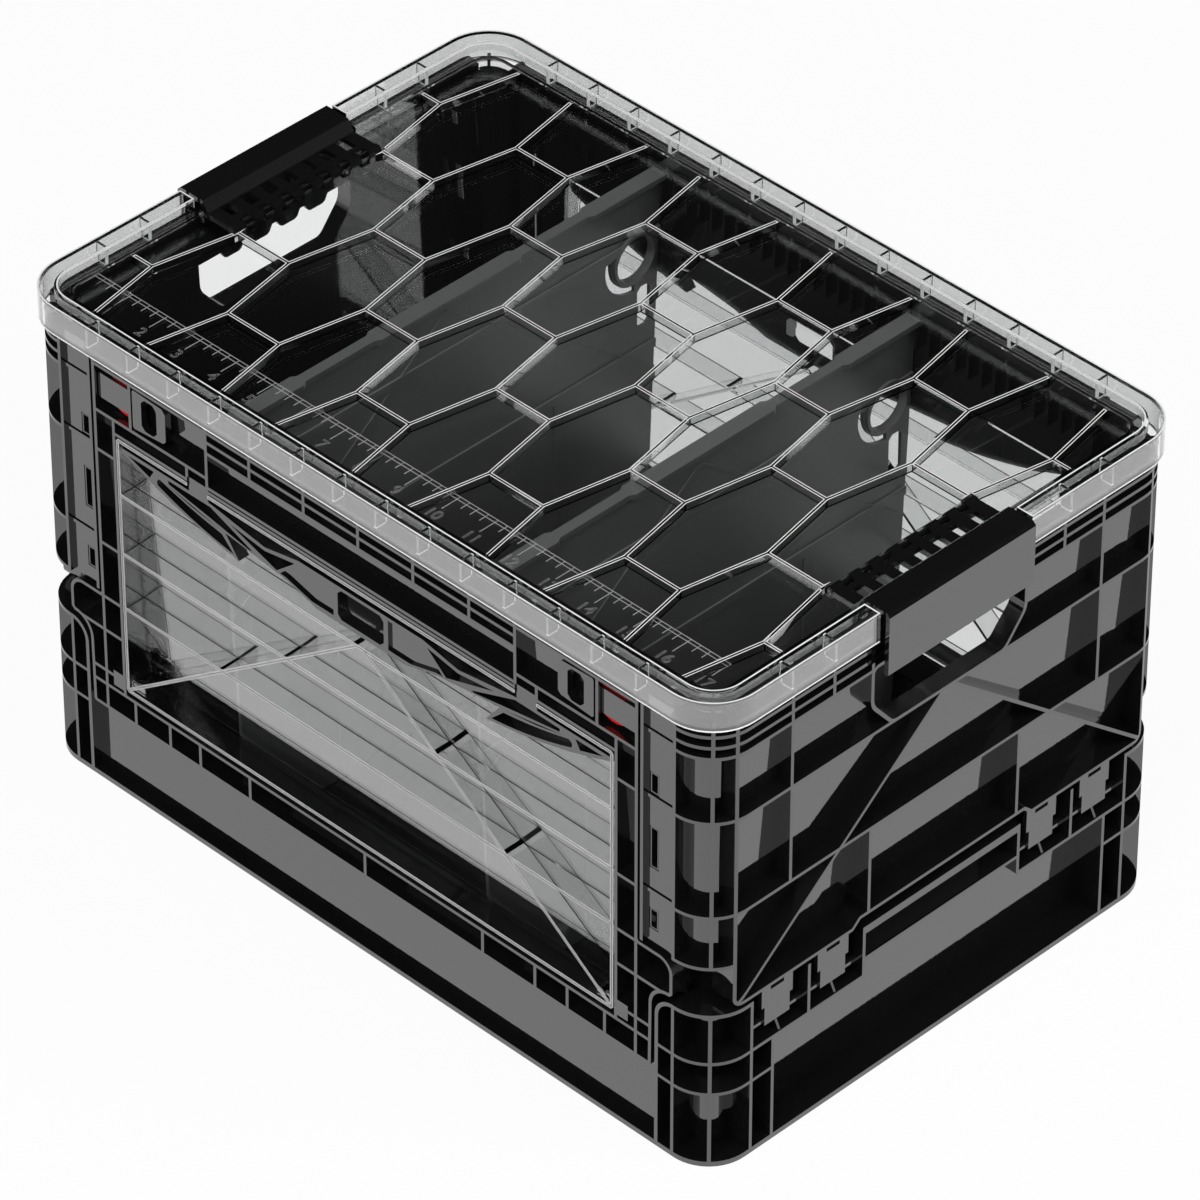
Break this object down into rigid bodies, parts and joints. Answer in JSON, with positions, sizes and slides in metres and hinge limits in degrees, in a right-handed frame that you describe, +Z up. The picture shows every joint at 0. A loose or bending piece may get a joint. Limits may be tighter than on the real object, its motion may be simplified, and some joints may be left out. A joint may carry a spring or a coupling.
{
  "type": "collapsible storage crate",
  "caption": "Folding storage crate with ribbed black walls, clear fold-down side doors, clear honeycomb lid with snap latches, slide locks and lift-out dividers.",
  "frame": {"origin": "under the middle of the base, on the floor", "axes": "+X along the length, to the latch end at the right of the picture; -Y is the pictured front with a door; +Z up"},
  "size_m": [0.4832, 0.3224, 0.285],
  "materials": {
    "black_plastic": "gloss",
    "clear_plastic": "clear gloss",
    "grey_plastic": "satin",
    "red_plastic": "satin",
    "steel": "bright"
  },
  "bodies": {
    "crate": {"base_tray": "black_plastic", "right_end_wall": "black_plastic", "left_end_wall": "black_plastic", "right_hinge_clips": "grey_plastic", "left_hinge_clips": "grey_plastic", "front_frame": "black_plastic", "back_frame": "black_plastic", "lock_indicators": "red_plastic"},
    "lid": {"lid": "clear_plastic", "right_latch_pin": "steel", "left_latch_pin": "steel"},
    "right_lid_latch": {"right_lid_latch": "black_plastic"},
    "left_lid_latch": {"left_lid_latch": "black_plastic"},
    "front_door": {"front_door": "clear_plastic", "front_door_pins": "clear_plastic"},
    "back_door": {"back_door": "clear_plastic", "back_door_pins": "clear_plastic"},
    "front_door_latch": {"front_door_latch": "black_plastic"},
    "back_door_latch": {"back_door_latch": "black_plastic"},
    "front_right_lock": {"front_right_lock": "black_plastic"},
    "front_left_lock": {"front_left_lock": "black_plastic"},
    "back_left_lock": {"back_left_lock": "black_plastic"},
    "back_right_lock": {"back_right_lock": "black_plastic"},
    "left_divider": {"left_divider": "grey_plastic"},
    "right_divider": {"right_divider": "grey_plastic"}
  },
  "joints": [
    {"name": "lid_lift", "type": "slide", "parent": "crate", "child": "lid", "axis": [0, 0, 1], "range_m": [0, 0.3]},
    {"name": "right_lid_latch_swing", "type": "hinge", "parent": "lid", "child": "right_lid_latch", "pos_m": [0.203, 0, 0.277], "axis": [0, -1, 0], "range_deg": [0, 100]},
    {"name": "left_lid_latch_swing", "type": "hinge", "parent": "lid", "child": "left_lid_latch", "pos_m": [-0.203, 0, 0.277], "axis": [0, 1, 0], "range_deg": [0, 100]},
    {"name": "front_door_swing", "type": "hinge", "parent": "crate", "child": "front_door", "pos_m": [0, -0.1539, 0.0712], "axis": [1, 0, 0], "range_deg": [0, 100]},
    {"name": "back_door_swing", "type": "hinge", "parent": "crate", "child": "back_door", "pos_m": [0, 0.1539, 0.0712], "axis": [-1, 0, 0], "range_deg": [0, 100]},
    {"name": "front_door_latch_press", "type": "slide", "parent": "front_door", "child": "front_door_latch", "axis": [0, 0, -1], "range_m": [0, 0.0024], "stiffness_N_per_m": 250, "springref_m": -0.003},
    {"name": "back_door_latch_press", "type": "slide", "parent": "back_door", "child": "back_door_latch", "axis": [0, 0, -1], "range_m": [0, 0.0024], "stiffness_N_per_m": 250, "springref_m": -0.003},
    {"name": "front_right_lock_slide", "type": "slide", "parent": "crate", "child": "front_right_lock", "axis": [-1, 0, 0], "range_m": [0, 0.022]},
    {"name": "front_left_lock_slide", "type": "slide", "parent": "crate", "child": "front_left_lock", "axis": [1, 0, 0], "range_m": [0, 0.022]},
    {"name": "back_left_lock_slide", "type": "slide", "parent": "crate", "child": "back_left_lock", "axis": [1, 0, 0], "range_m": [0, 0.022]},
    {"name": "back_right_lock_slide", "type": "slide", "parent": "crate", "child": "back_right_lock", "axis": [-1, 0, 0], "range_m": [0, 0.022]},
    {"name": "left_divider_lift", "type": "slide", "parent": "crate", "child": "left_divider", "axis": [0, 0, 1], "range_m": [0, 0.006]},
    {"name": "right_divider_lift", "type": "slide", "parent": "crate", "child": "right_divider", "axis": [0, 0, 1], "range_m": [0, 0.006]}
  ]
}
